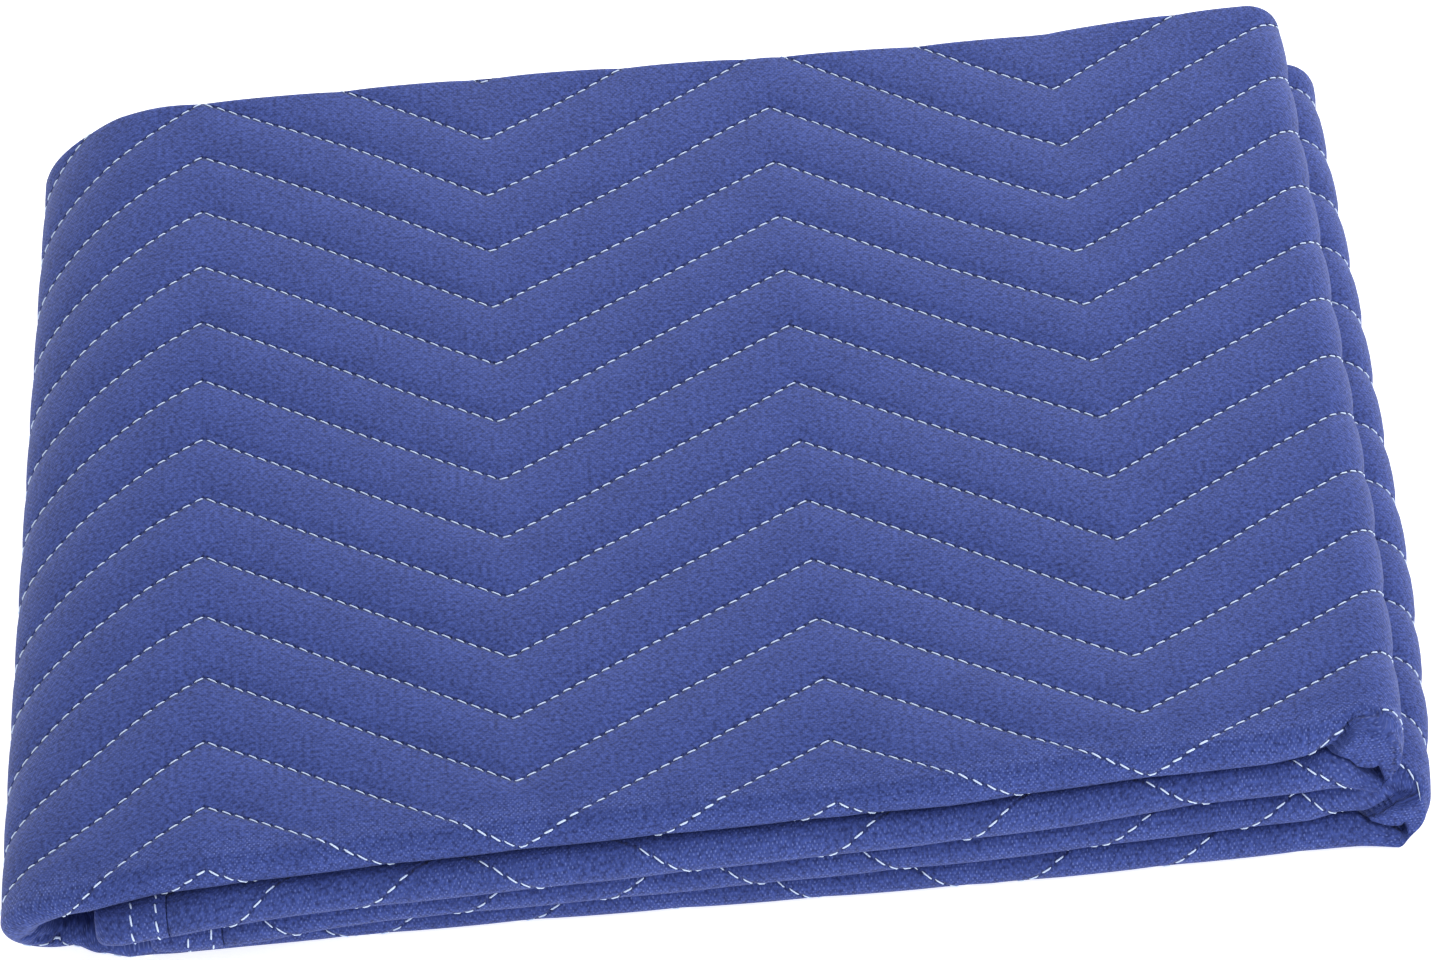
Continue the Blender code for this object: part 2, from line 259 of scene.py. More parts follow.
def halfTurn(centre, reach, radius, startAngle, steps, edgesToJoin, packet, ease=1.0, slack=0.0):
    stations = []
    for i in range(1, steps):
        share = i / steps
        angle = math.radians(startAngle + 180 * share)
        across, up = math.cos(angle), math.sin(angle)
        length = math.hypot(across / reach, up / radius)
        front, back = [a + (b - a) * share**ease for a, b in zip(*edgesToJoin)]
        edges = front + slack * (share**ease - eased(share, cloth["leftTurnRelease"], 1.0)), back
        x, z = centre[0] + reach * across, centre[1] + radius * up
        stations.append(Station(x, z, across / reach / length, up / radius / length, edges, packet, 0))
    return stations


mesh = dict(
    plyColumns=7, foldColumns=7, rollColumns=28, rowColumns=(0.0, 0.09, 0.26, 0.5, 0.74, 0.91),
    rowsReach=0.236, rowSamples=400, rows=(-13, 4), insidePly=4, insideFold=3, insideRoll=8,
    bindingPly=24, bindingFace=60,
    cornerReach=0.034, cornerStep=0.0017, hiddenStep=0.015, boundStep=0.006, topStep=0.0040,
    bottomStep=0.0090, turnSteps=34, leftSteps=60,
)
binding = dict(
    width=0.027, wall=0.0008, clearance=0.0003, step=0.0004, flatWidth=0.0565, nosePoints=9, noseDepth=0.9,
    facePoints=8, lipInset=0.0004, noseGap=0.001, bevel=0.0003, cornerIn=0.0001, cornerDown=0.0002,
    rows=(0.0142, 0.0232), pitch=0.0056, firstStitch=0.004, lastStitch=0.006, shown=(0.56, 0.66),
    spread=(0.95, 1.05), stray=0.00015,
)


def foldPath():
    upperX, lowerX = (cloth["turnX"][packet] - turnRadius for packet in ("upper", "lower"))
    leftX, half = cloth["leftTurnX"] + cloth["leftTurnReach"], packetHeight / 2
    gap = cloth["layerGap"] / 2
    inside, lip = binding["wall"] + binding["clearance"], binding["width"] + binding["clearance"]

    def boundRun(layer, packet, turnX, nz, faceZ):
        endX = cloth["endX"][packet]
        bound = flatRun(layer, endX + inside, endX + lip, mesh["boundStep"], nz, faceZ, packet)
        for station in bound:
            station.pinch = inside
        free = endX + lip + binding["step"]
        return bound + flatRun(layer, free, turnX, mesh["hiddenStep"], nz, faceZ, packet)

    def rightTurn(x, z, below, above, packet):
        edgesToJoin = edgesAt(below, x), edgesAt(above, x)
        return halfTurn((x, z), turnRadius, turnRadius, -90, mesh["turnSteps"], edgesToJoin, packet)

    layer2 = boundRun(2, "upper", upperX, -1.0, half + gap)
    upperTurn = rightTurn(upperX, half + gap + turnRadius, 2, 1, "upper")
    layer1 = flatRun(1, upperX, leftX, mesh["topStep"], 1.0, packetHeight, "upper")
    edgesToJoin = edgesAt(1, leftX), edgesAt(4, leftX)
    leftTurn = halfTurn(
        (leftX, half), cloth["leftTurnReach"], half, 90, mesh["leftSteps"], edgesToJoin, "upper",
        cloth["leftTurnEase"], cloth["leftTurnSlack"],
    )
    layer4 = flatRun(4, leftX, lowerX, mesh["bottomStep"], -1.0, 0.0, "lower")
    lowerTurn = rightTurn(lowerX, turnRadius, 4, 3, "lower")
    layer3 = boundRun(3, "lower", lowerX, 1.0, half - gap)
    return layer2 + upperTurn + layer1 + leftTurn + layer4 + lowerTurn + layer3[::-1]


stations = foldPath()
pathLength = sum(math.hypot(b.x - a.x, b.z - a.z) for a, b in zip(stations, stations[1:]))
print(f"fold path: {len(stations)} stations, {pathLength:.3f} m of cloth")


def measureCloth():
    # Length of the cloth up to each station, along lines of constant y, counted so that it equals -x on top
    knots = np.array([row[0] for row in sideEdges])
    xs = np.array([station.x + sideShift(station.x, knots, station.packet) for station in stations])
    zs = np.array([[station.z] * len(knots) for station in stations]) * slumpAt(xs)
    steps = np.hypot(np.diff(xs, axis=0), np.diff(zs, axis=0))
    lengths = np.concatenate([np.zeros((1, len(knots))), np.cumsum(steps, axis=0)])
    top = next(i for i, station in enumerate(stations) if station.layer == 1)
    lengths -= lengths[top] + xs[top]
    us, _, slides = zip(*drifts)
    return knots, lengths + np.interp(lengths, us, slides)


knotYs, stationLengths = measureCloth()
for index, station in enumerate(stations):
    station.index = index


def clothPlace(station, y):
    return np.interp(y, knotYs, stationLengths[station.index])


def landmarks(station):  # v at the first hem, both ends of each fold and of the roll, and the second hem
    foldY = station.back - cloth["ply"] - cloth["plyGap"] / 2
    rollY = station.front + layerHeight / 2
    width, inner = foldY - rollY, foldY - rollY - cloth["hemSetback"]
    firstFold, rollEnd = foldY + math.pi * foldRadius, rollY - math.pi * rollRadius
    secondFold = rollEnd - width
    secondPly = secondFold - math.pi * foldRadius
    return firstFold + inner, firstFold, foldY, rollY, rollEnd, secondFold, secondPly, secondPly - inner


def outsideColumns(station):
    marks, ply, fold = landmarks(station), mesh["plyColumns"], mesh["foldColumns"]
    foldY, rollY = marks[2:4]
    fine = np.linspace(-mesh["rowsReach"], mesh["rowsReach"], mesh["rowSamples"])
    phases = rowPhase(clothPlace(station, fine), fine)
    wanted = np.sort(np.add.outer(np.arange(*mesh["rows"]), mesh["rowColumns"]).ravel())[::-1]
    rows = np.clip(np.interp(wanted, phases, fine), rollY, foldY)
    rows[0], rows[-1] = foldY, rollY
    before = columnsBetween(marks[:3], [ply - 1, fold])[:-1]
    after = columnsBetween(marks[3:], [mesh["rollColumns"], ply, fold, ply - 1])[1:]
    return np.concatenate([before, rows, after])


def columnsBetween(marks, counts):
    parts = [np.linspace(a, b, n + 1)[:-1] for a, b, n in zip(marks, marks[1:], counts)]
    return np.concatenate([*parts, [marks[-1]]])


def insideColumns(station):
    marks = landmarks(station)[::-1]
    ply, fold = mesh["insidePly"], mesh["insideFold"]
    return columnsBetween(marks, [ply, fold, ply, mesh["insideRoll"], 3 * ply, fold, ply])


# Soft hollows (negative) and swells of the top face: x, y, height, reach
swells = (
    (0.105, 0.02, -0.0012, 0.045), (-0.19, 0.15, -0.001, 0.06), (0.19, -0.12, -0.0008, 0.05),
    (-0.06, -0.08, 0.0007, 0.08), (0.01, 0.14, 0.0006, 0.07), (-0.11, 0.075, -0.0006, 0.04),
    (0.11, -0.105, -0.0006, 0.035), (-0.02, -0.12, 0.0005, 0.03), (0.04, -0.185, -0.0006, 0.03),
)

# Creases of the top face, each a soft trough (negative) or ridge: x, y of both ends, height, half width
creases = (
    (0.055, 0.021, 0.108, 0.0165, -0.00045, 0.0028), (0.1, 0.0165, 0.147, 0.015, -0.0006, 0.0028),
    (0.14, 0.015, 0.184, 0.018, -0.0005, 0.0028), (0.15, 0.145, 0.176, 0.134, -0.0007, 0.0035),
    (0.154, 0.089, 0.196, 0.076, -0.0005, 0.004), (0.146, 0.122, 0.182, 0.112, 0.0004, 0.004),
    (-0.076, 0.044, -0.022, 0.071, -0.0004, 0.0045), (-0.04, -0.062, 0.025, -0.04, -0.00045, 0.005),
    (-0.063, -0.066, -0.022, -0.085, -0.0005, 0.0045), (-0.046, -0.114, -0.022, -0.144, 0.0004, 0.005),
    (-0.044, -0.126, -0.002, -0.132, -0.00055, 0.0045), (-0.008, -0.174, 0.008, -0.204, -0.0006, 0.005),
    (0.036, -0.156, 0.056, -0.182, -0.0006, 0.0045), (0.046, -0.073, 0.085, -0.095, -0.00045, 0.0045),
    (-0.154, -0.103, -0.118, -0.126, -0.00035, 0.005), (-0.202, 0.178, -0.188, 0.143, -0.0006, 0.004),
    (-0.196, 0.205, -0.176, 0.185, -0.0005, 0.004), (0.19, 0.212, 0.228, 0.178, -0.0006, 0.0045),
    (0.02, 0.19, 0.06, 0.172, -0.0004, 0.005), (0.088, -0.165, 0.118, -0.188, -0.0004, 0.005),
    (-0.12, -0.164, -0.092, -0.19, -0.0004, 0.005),
)
creaseShape = dict(bow=0.06, past=0.004, fade=0.012)


def swellAt(x, y):
    total = withBumps(np.zeros_like(y), swells, x, y)
    for x0, y0, x1, y1, height, width in creases:
        length = math.hypot(x1 - x0, y1 - y0)
        along = ((x - x0) * (x1 - x0) + (y - y0) * (y1 - y0)) / length
        off = ((y - y0) * (x1 - x0) - (x - x0) * (y1 - y0)) / length
        bow = off - creaseShape["bow"] * length * (1 - (2 * along / length - 1) ** 2)
        past = creaseShape["past"]
        ends = np.clip(np.minimum(along + past, length + past - along) / creaseShape["fade"], 0.0, 1.0)
        total += height * np.exp(-((bow / width) ** 2)) * ends * ends * (3 - 2 * ends)
    return total


def sectionPoints(station, v, side):
    # side is 1 on the face that shows, -1 on the one folded inwards
    flatY, _ = acrossSection(station.front, station.back, v, 0.0)
    share = rowPhase(clothPlace(station, flatY), v)
    share = share - np.floor(share)
    height, power = quilting["relief"]["outer" if side > 0 else "inner"], quilting["reliefPower"]
    relief = height * np.abs(1.0 - 2.0 * share) ** power
    foldY, rollY = landmarks(station)[2:4]
    roll, back = quilting["rollFade"], quilting["backFade"]
    relief = relief * (1.0 - roll["share"] * eased(v, rollY + roll["reach"], rollY))
    relief = relief * (1.0 - back["share"] * eased(v, foldY - back["reach"], foldY))
    relief = relief * (0.0 if station.pinch else 1.0)
    if station.layer == 0 and station.x < 0:  # the cloth is stretched round the left turn
        relief = relief * (quilting["turnRelief"] + (1 - quilting["turnRelief"]) * abs(station.nz))
    half = cloth["ply"] / 2 - station.pinch - relief
    y, depth = acrossSection(station.front, station.back, v, side * half)
    if side > 0:
        onTop = max(0.0, station.nz) * np.maximum(0.0, 1.0 - depth / (2 * cloth["ply"]))
        if station.layer in (0, 1) and station.z > packetHeight / 2:
            depth = depth - onTop * swellAt(station.x, y)
    x = station.x - station.nx * depth
    z = station.z - station.nz * depth
    return np.stack([x + sideShift(x, y, station.packet), y, z], axis=1)


# Broad waves that pass through all plies: x, y, height, reach
waves = (
    (-0.177, 0.09, 0.0016, 0.045), (0.04, 0.075, 0.0016, 0.045), (0.148, 0.045, 0.001, 0.026),
    (-0.102, -0.06, 0.0014, 0.036), (-0.11, 0.145, 0.0008, 0.03), (0.105, -0.115, -0.0018, 0.031),
    (0.175, -0.112, -0.0014, 0.03), (0.04, -0.163, 0.0015, 0.03), (-0.02, -0.165, 0.001, 0.028),
    (-0.02, -0.11, -0.0014, 0.03), (0.11, -0.165, 0.001, 0.026), (-0.13, -0.185, -0.0022, 0.048),
    (-0.15, 0.01, -0.001, 0.04), (0.09, 0.01, -0.0012, 0.035), (0.2, 0.11, 0.0008, 0.035),
    (0.12, 0.18, 0.0008, 0.035),
)
waveLean = 1.11  # how far forward a wave moves the cloth, for its height


def flapCloth(u, phase):  # a place this many rows in front of the first
    return u, phase * quilting["spacing"] + quilting["peakY"] - float(zigzag(u))


# Front corners of the right turns, pressed into flat flaps: x, z of the turn's middle; x of a place on the
# flap and its cloth place; x, z of both ends of the crease above the flap; and x, shift in x, shift in z of
# the slot between the two rolls, which becomes the crease below it
flaps = (
    dict(
        middle=(0.2327, 0.0448), cloth=(0.2335, *flapCloth(-0.2567, -11.35)),
        crease=(0.219, 0.0475, 0.2325, 0.0605),
        slot=(
            (0.212, 0.0, 0.0), (0.2195, 0.0, 0.0027), (0.224, 0.004, -0.0023), (0.227, 0.0033, -0.0068),
            (0.2327, 0.0063, -0.0136),
        ),
    ),
    dict(
        middle=(0.2412, 0.0148), cloth=(0.244, *flapCloth(0.8182, -9.72)),
        crease=(0.2285, 0.0127, 0.251, 0.02),
        slot=((0.223, 0.0, 0.0), (0.2295, 0.0, -0.0018), (0.2412, 0.0055, -0.0122)),
    ),
)
# turn is the cosine and sine that lay the rows on a flap; a pair is where something starts and is full
flap = dict(
    face=-0.1985, set=(-0.1835, -0.1925), edge=0.0016, rounding=0.0040, tuck=0.0016, tuckWidth=0.0010,
    eye=(0.0003, 0.0014), angle=(-1.4, -0.7), along=(-0.001, 0.002), rim=(0.0005, 0.0025),
    tuckEnd=(0.001, -0.003), turn=(0.53, 0.848), over=0.0001,
)


def flapped(points, depth=0.0):
    # depth is 0 for the face that shows, and the ply for the one behind it; also gives how far a point is on
    # a flap, and its cloth place there
    x, y, z = points[..., 0].copy(), points[..., 1].copy(), points[..., 2].copy()
    flat, place = np.zeros(x.shape), np.zeros((*x.shape, 2))
    for corner in flaps:
        (eyeX, eyeZ), (x0, z0, x1, z1) = corner["middle"], corner["crease"]
        xs, alongX, alongZ = zip(*corner["slot"])
        radius = np.hypot(np.maximum(x - eyeX, 0.0), z - eyeZ)
        front = eased(y - depth, *flap["set"]) * (np.abs(z - eyeZ) < turnRadius + flap["over"])
        pull = front * np.clip(1 - radius / turnRadius, 0.0, 1.0)
        angle = np.arctan2(z - eyeZ, np.maximum(x - eyeX, 1e-6))
        newX, newZ = x + pull * np.interp(x, xs, alongX), z + pull * np.interp(x, xs, alongZ)
        length = math.hypot(x1 - x0, z1 - z0)
        beside = ((newX - x0) * (z1 - z0) - (newZ - z0) * (x1 - x0)) / length
        along = ((newX - x0) * (x1 - x0) + (newZ - z0) * (z1 - z0)) / length
        share = front * eased(beside, 0.0, flap["edge"]) * eased(radius, *flap["eye"])
        share = share * eased(angle, *flap["angle"]) * eased(along, *flap["along"])
        share = share * eased(turnRadius - radius, *flap["rim"])
        rim = np.clip(1 - (turnRadius - radius) / flap["rounding"], 0.0, 1.0)
        face = flap["face"] + depth + flap["rounding"] * (1 - np.sqrt(1 - rim * rim))
        y = y + share * (face - y)
        past, within = flap["tuckEnd"]
        ends = eased(along, *flap["along"]) * eased(along, length + past, length + within)
        y = y + front * flap["tuck"] * ends * np.exp(-((beside / flap["tuckWidth"]) ** 2))
        across, down = newX - corner["cloth"][0], newZ - eyeZ
        (_, u, v), (cos, sin) = corner["cloth"], flap["turn"]
        on = np.stack([u + cos * across + sin * down, v + sin * across - cos * down], axis=-1)
        place += share[..., None] * on
        flat += share
        x, z = newX, newZ
    return np.stack([x, y, z], axis=-1), flat, place


# Small tucks at the front of the left turn: x, y, z of both ends, how far the cloth is drawn in, half width
tucks = (
    (-0.2574, -0.2049, 0.0201, -0.2523, -0.2005, 0.0207, 0.0026, 0.0012),
    (-0.2544, -0.2021, 0.0158, -0.2498, -0.1964, 0.0177, 0.0024, 0.0011),
    (-0.2517, -0.2007, 0.014, -0.2471, -0.194, 0.016, 0.0026, 0.0011),
    (-0.2475, -0.1985, 0.012, -0.243, -0.191, 0.0145, 0.0022, 0.0012),
)


def shaped(points, depth=0.0):  # what bends all plies together
    points = flapped(points, depth)[0]
    wave = withBumps(0.0, waves, points[..., 0], points[..., 1])
    share = np.clip(points[..., 2] / packetHeight, 0.0, 1.0)
    points[..., 2] += wave * share
    points[..., 1] -= waveLean * wave * share
    points[..., 2] *= slumpAt(points[..., 0])
    points[..., 0] -= cloth["centre"][0]
    points[..., 1] -= cloth["centre"][1]
    for *ends, drawn, width in tucks:
        start, end = np.array(ends).reshape(2, 3)
        reach = end - start
        share = np.clip((points - start) @ reach / (reach @ reach), 0.0, 1.0)
        away = np.linalg.norm(points - start - share[..., None] * reach, axis=-1)
        points[..., 1] += drawn * np.exp(-((away / width) ** 2))
    return points


def makeObject(name, bm, material):
    data = bpy.data.meshes.new(name)
    bm.to_mesh(data)
    bm.free()
    data.materials.append(material)
    data.shade_smooth()
    piece = bpy.data.objects.new(name, data)
    bpy.context.scene.collection.objects.link(piece)
    print(f"{name}: {len(data.polygons)} faces")
    return piece


def gridThrough(points, uvs, rolled=None):
    # A grid bent through rows of points, its last column meeting the first, its ends closed
    rows, columns = points.shape[:2]
    bm = bmesh.new()
    layer = bm.loops.layers.uv.new("clothMap")
    stretched = bm.verts.layers.float.new("rolledCloth")
    bmesh.ops.create_grid(bm, x_segments=columns - 1, y_segments=rows - 1, size=1.0)
    flatPoints, flatUvs = points.reshape(-1, 3), uvs.reshape(-1, 2)
    shares = np.ones(len(flatPoints)) if rolled is None else rolled.reshape(-1)
    for vert, point, share in zip(bm.verts, flatPoints, shares):
        vert.co = point
        vert[stretched] = share
    bm.verts.index_update()
    for face in bm.faces:
        for loop in face.loops:
            loop[layer].uv = flatUvs[loop.vert.index]
    bmesh.ops.remove_doubles(bm, verts=bm.verts, dist=1e-6)
    bmesh.ops.dissolve_degenerate(bm, edges=bm.edges, dist=1e-7)
    made = bmesh.ops.holes_fill(bm, edges=[edge for edge in bm.edges if edge.is_boundary], sides=0)
    bmesh.ops.triangulate(bm, faces=made["faces"], quad_method="SHORT_EDGE", ngon_method="EAR_CLIP")
    bmesh.ops.recalc_face_normals(bm, faces=bm.faces)
    return bm


outsideV = np.array([outsideColumns(station) for station in stations])
rawPoints = np.array([sectionPoints(station, v, 1) for station, v in zip(stations, outsideV)])
outsidePoints = shaped(rawPoints)
insideV = np.array([insideColumns(station) for station in stations])
insideRaw = np.array([sectionPoints(station, v, -1) for station, v in zip(stations, insideV)])
insidePoints = shaped(insideRaw, cloth["ply"])


def uvsOf(columns):
    # Cloth coordinates of every point: the length along the cloth, and the place across it less the wander
    rows = []
    for station, v in zip(stations, columns):
        y, _ = acrossSection(station.front, station.back, v, 0.0)
        u = clothPlace(station, y)
        rows.append(np.stack([u, v - wanderAt(-u, v)], axis=1))
    return np.array(rows)


outsideUvs, insideUvs = uvsOf(outsideV), uvsOf(insideV)
_, onFlap, flapUvs = flapped(rawPoints)
outsideUvs = outsideUvs * (1 - onFlap[..., None]) + flapUvs


lookup = dict(batch=4000, clampY=(-0.213, 0.222))


def surfaceAt(u, v, lift):
    # Points on the outer face of the folded cloth, lifted along its normal, in batches that fit in memory
    size = lookup["batch"]
    parts = [slice(start, start + size) for start in range(0, len(u), size)]
    return np.concatenate([surfacePart(u[part], v[part], lift[part]) for part in parts])


def surfacePart(u, v, lift):
    y = np.clip(v, *lookup["clampY"])
    knot = np.clip(np.searchsorted(knotYs, y) - 1, 0, len(knotYs) - 2)
    part = np.clip((y - knotYs[knot]) / (knotYs[knot + 1] - knotYs[knot]), 0.0, 1.0)
    along = stationLengths[:, knot] * (1 - part) + stationLengths[:, knot + 1] * part
    i = np.clip((along <= u).sum(axis=0) - 1, 0, len(stations) - 2)
    k = np.arange(len(u))
    t = ((u - along[i, k]) / (along[i + 1, k] - along[i, k]))[:, None]
    rowV = outsideV[i] * (1 - t) + outsideV[i + 1] * t
    j = np.clip((rowV > v[:, None]).sum(axis=1) - 1, 0, rowV.shape[1] - 2)
    s = ((v - rowV[k, j]) / np.minimum(rowV[k, j + 1] - rowV[k, j], -1e-9))[:, None]
    a, b = outsidePoints[i, j], outsidePoints[i, j + 1]
    c, d = outsidePoints[i + 1, j], outsidePoints[i + 1, j + 1]
    place = (a * (1 - s) + b * s) * (1 - t) + (c * (1 - s) + d * s) * t
    forward, across = (c - a) * (1 - s) + (d - b) * s, (b - a) * (1 - t) + (d - c) * t
    normal = np.cross(forward, across)
    normal /= np.maximum(np.linalg.norm(normal, axis=1), 1e-12)[:, None]
    return place + normal * lift[:, None]


print("stitch lookup ready")


class Nodes:  # makes and links the nodes of one tree
    def __init__(self, tree):
        self.tree = tree

    def fill(self, node, inputs):  # each input takes a number or colour, or another node's output
        for name, source in inputs.items():
            if isinstance(source, bpy.types.NodeSocket):
                self.tree.links.new(source, node.inputs[name])
            else:
                node.inputs[name].default_value = source

    def make(self, kind, inputs=None, **values):
        node = self.tree.nodes.new(kind)
        for name, value in values.items():
            setattr(node, name, value)
        self.fill(node, inputs or {})
        return node

    def calc(self, operation, *sources, clamp=False):
        values = dict(operation=operation, use_clamp=clamp)
        return self.make("ShaderNodeMath", dict(enumerate(sources)), **values).outputs[0]

    def ranged(self, source, low, high, toLow=0.0, toHigh=1.0, kind="SMOOTHSTEP"):
        inputs = {"Value": source, "From Min": low, "From Max": high, "To Min": toLow, "To Max": toHigh}
        return self.make("ShaderNodeMapRange", inputs, interpolation_type=kind).outputs[0]

    def noise(self, place, scale, detail, roughness, stretch=(1.0, 1.0, 1.0), distortion=0.0):
        pulled = self.make("ShaderNodeVectorMath", {0: place, 1: stretch}, operation="MULTIPLY").outputs[0]
        inputs = {"Vector": pulled, "Scale": scale, "Detail": detail, "Roughness": roughness}
        inputs["Distortion"] = distortion
        return self.make("ShaderNodeTexNoise", inputs, noise_dimensions="2D").outputs[0]

    def weighed(self, a, shareA, b, shareB, clamp=False):
        first, second = self.calc("MULTIPLY", a, shareA), self.calc("MULTIPLY", b, shareB)
        return self.calc("ADD", first, second, clamp=clamp)


def newGroup(name):  # its nodes, and its one input: the place on the flat cloth
    tree = bpy.data.node_groups.new(name, "ShaderNodeTree")
    tree.interface.new_socket("Place", in_out="INPUT", socket_type="NodeSocketVector")
    return Nodes(tree), tree.nodes.new("NodeGroupInput").outputs["Place"]


def giveOut(nodes, outputs):
    for label in outputs:
        nodes.tree.interface.new_socket(label, in_out="OUTPUT", socket_type="NodeSocketFloat")
    nodes.make("NodeGroupOutput", outputs)
    return nodes.tree


def newMaterial(name):
    material = bpy.data.materials.new(name)
    material.use_nodes = True
    return material, Nodes(material.node_tree), material.node_tree.nodes["Principled BSDF"]


# Pin-point bonded cloth: the pitches of its dots, its noises, and the ranges that are cut from them
weave = dict(
    spacing=(0.0016, 0.0023), dots=(0.15, 0.80),
    fibres=dict(scale=720.0, detail=3.0, roughness=0.55, stretch=(0.80, 1.0, 1.0), distortion=0.2),
    mottle=dict(scale=46.0, detail=4.0, roughness=0.60),
    specks=dict(scale=330.0, detail=1.0, roughness=0.5), speckRange=(0.72, 0.80),
    uneven=dict(scale=640.0, detail=1.0, roughness=0.5), unevenRange=(0.36, 0.66),
    fibreHeight=1.2, dotHeight=0.35,
)

# Beside a stitch row: reach of its puckers, of its shade and of a needle hole, and the steepness of the loft
seams = dict(
    puckerReach=0.0042, shadeReach=0.0014, holeReach=0.17, loftPower=4.0,
    ripple=dict(scale=130.0, detail=2.0, roughness=0.5),
)

# Lockstitches, 23.5 on each slope: share is how much of each pitch the thread shows, slant how far a stitch
# leans off its row, slide and stray how far it is moved along and off it, mostOnFlap where it is left out,
# and thin and sink are for its ends, in radii and rises
stitches = dict(
    pitchAlong=quilting["halfPeriod"] / 23.5, share=0.68, radius=0.00034, rise=0.00014, slant=0.00026,
    sides=5, seed=7, rows=(-14, 14), margin=0.001, lengths=(0.92, 1.06), slide=0.02, stray=0.00008,
    mostOnFlap=0.12, cut=0.3, endFrom=0.4, thin=0.6, sink=-0.9, rounds=14,
)


def embossGroup():
    # Staggered dots pressed into a mat of short fibres
    nodes, place = newGroup("pinPointCloth")
    calc = nodes.calc
    split = nodes.make("ShaderNodeSeparateXYZ", {0: place}).outputs
    turns = [calc("DIVIDE", calc("MULTIPLY", split[i], 2 * math.pi), weave["spacing"][i]) for i in (0, 1)]
    waves = calc("MULTIPLY", calc("COSINE", turns[0]), calc("COSINE", turns[1]))
    dots = nodes.ranged(waves, *weave["dots"])
    fibres, mottle, specks, uneven = [
        nodes.noise(place, **weave[name]) for name in ("fibres", "mottle", "specks", "uneven")
    ]
    height = calc(
        "SUBTRACT", calc("MULTIPLY", fibres, weave["fibreHeight"]), calc("MULTIPLY", dots, weave["dotHeight"])
    )
    return giveOut(nodes, {
        "Dots": dots, "Uneven": nodes.ranged(uneven, *weave["unevenRange"]), "Fibres": fibres,
        "Mottle": mottle, "Specks": nodes.ranged(specks, *weave["speckRange"]), "Height": height,
    })


def stitchGroup():
    # The loft between the stitch rows, nearness to a row, its needle holes, and the puckers beside it
    nodes, place = newGroup("stitchPucker")
    calc = nodes.calc
    split = nodes.make("ShaderNodeSeparateXYZ", {0: place}).outputs
    along = calc("SUBTRACT", calc("MULTIPLY", split[0], -1.0), quilting["peakX"])
    climb = quilting["depth"] / quilting["halfPeriod"]
    wave = calc("MULTIPLY", calc("PINGPONG", along, quilting["halfPeriod"]), climb)
    row = calc("ADD", calc("SUBTRACT", split[1], quilting["peakY"]), wave)
    away = calc("PINGPONG", row, quilting["spacing"] / 2)

    def nearness(source, reach):
        return nodes.ranged(source, 0.0, seams[reach], 1.0, 0.0)

    seam = nearness(away, "shadeReach")
    phase = calc("DIVIDE", along, stitches["pitchAlong"])
    ends = [calc("PINGPONG", calc("ADD", phase, shift), 0.5) for shift in (0.0, stitches["share"])]
    holes = calc("MULTIPLY", nearness(calc("MINIMUM", *ends), "holeReach"), seam)
    ripple = nodes.noise(place, **seams["ripple"])
    offRow = calc("SUBTRACT", 1.0, calc("DIVIDE", away, quilting["spacing"] / 2))
    return giveOut(nodes, {
        "Loft": calc("SUBTRACT", 1.0, calc("POWER", offRow, seams["loftPower"])), "Seam": seam,
        "Holes": holes, "Pucker": calc("MULTIPLY", nearness(away, "puckerReach"), ripple),
    })


# Colours are factors of the piece's own colour, except in tints; bumps are strength and distance. The bright
# dot colour is a painted highlight: glints on the bonded dots, shown mostly where the cloth turns round a
# front roll. The seam colours are painted shade along the stitch rows and in their needle holes.
finish = dict(
    panel=(0.0330, 0.0562, 0.236), binding=(0.0318, 0.0536, 0.228),
    dark=(0.38, 0.42, 0.52), light=(1.62, 1.58, 1.48), paintedGlint=(3.6, 3.0, 2.0),
    fibres=2.1, mottle=0.32, rolledGlint=0.85, flatGlint=0.05, rolledReach=(0.013, 0.002),
    patches=(0.38, 0.62, 0.35, 1.0), roughness=(0.88, 0.62),
    specks=0.5, speckTint=(0.5, 0.52, 0.6), seamShade=0.30, holeShade=0.55, seamShadeTint=(0.34, 0.36, 0.46),
    grainBump=(0.6, 0.0004), seamBump=(0.8, 0.0012), loftBump=(1.0, 0.0011),
    puckerHeight=0.8, seamDepth=0.5, holeDepth=0.5,
    sheen=0.10, sheenRoughness=0.45, sheenTint=(0.72, 0.78, 1.0, 1.0), specular=0.30,
)
emboss, stitchRows = embossGroup(), stitchGroup()


